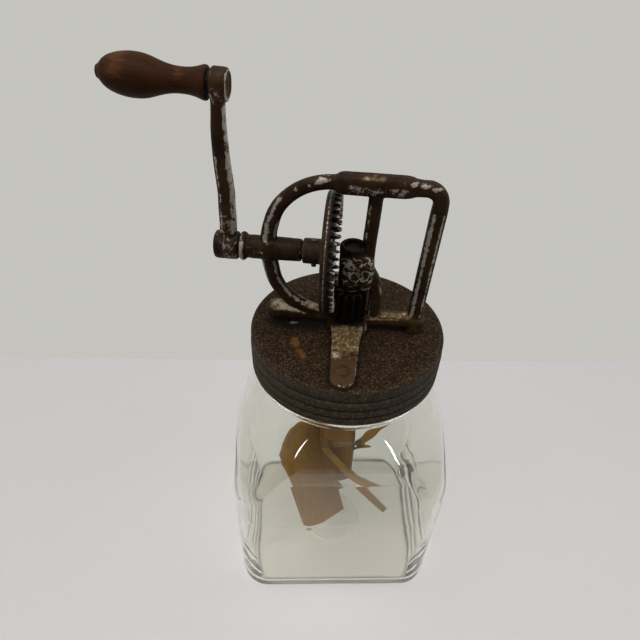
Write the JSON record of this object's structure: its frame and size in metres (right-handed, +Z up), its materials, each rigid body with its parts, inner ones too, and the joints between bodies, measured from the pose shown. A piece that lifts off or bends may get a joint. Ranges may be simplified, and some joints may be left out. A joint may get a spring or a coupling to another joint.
{
  "type": "glass butter churn",
  "caption": "Rectangular glass churn jar with a round screw lid, cast gear frame, crank with a wooden handle, crown gear and pinion, and a bladed wooden dasher.",
  "frame": {"origin": "middle of the jar's flat underside", "axes": "+Z up along the dasher shaft, +X to the right and +Y to the back as the churn is pictured, with the jar's broad face to the front"},
  "size_m": [0.198, 0.124, 0.3707],
  "materials": {
    "glass": "clear thick pressed glass, faint green",
    "lid": "dark brown, speckled with rust",
    "gasket": "matte",
    "casting": "dark brown paint worn to bare metal on the edges",
    "rivet": "dull brown",
    "bearing": "dull",
    "shaft": "dull, oily",
    "arm": "dark brown paint worn to bare metal on the edges",
    "pin": "dull",
    "gear": "dark and greasy, bright tooth tips",
    "washer": "dark",
    "handle": "varnished, reddish brown",
    "dasher_wood": "bare, oiled",
    "blade_wood": "bare, oiled"
  },
  "bodies": {
    "jar": {"glass_jar": "glass"},
    "lid": {"screw_lid": "lid", "lid_gasket": "gasket", "gear_frame": "casting", "strap_rivets": "rivet", "lid_bushing": "bearing"},
    "crank": {"crank_shaft": "shaft", "crank_arm": "arm", "arm_pin": "pin", "drive_gear": "gear", "gear_pin": "pin", "handle_spindle": "shaft", "spindle_washer": "washer"},
    "handle": {"crank_handle": "handle"},
    "dasher": {"dasher_shaft": "shaft", "pinion": "gear", "pinion_pin": "pin", "thrust_washer": "bearing", "shaft_collar": "shaft", "dasher_hub": "dasher_wood", "hub_pin": "pin", "dasher_blade_1": "blade_wood", "dasher_blade_2": "blade_wood", "dasher_blade_3": "blade_wood", "dasher_blade_4": "blade_wood"}
  },
  "joints": [
    {"name": "lid_lift", "type": "slide", "parent": "jar", "child": "lid", "axis": [0, 0, 1], "range_m": [0, 0.2]},
    {"name": "crank_turn", "type": "hinge", "parent": "lid", "child": "crank", "pos_m": [0, 0, 0.274], "axis": [0.9925, -0.1219, 0], "continuous": true},
    {"name": "handle_spin", "type": "hinge", "parent": "crank", "child": "handle", "pos_m": [-0.06749, 0.00829, 0.3589], "axis": [0.9915, -0.1217, -0.0454], "continuous": true},
    {"name": "dasher_spin", "type": "hinge", "parent": "lid", "child": "dasher", "pos_m": [0, 0, 0.1], "axis": [0, 0, 1], "continuous": true}
  ],
  "couplings": [
    {"joint": "dasher_spin", "follows": "crank_turn", "ratio": -3.5}
  ]
}
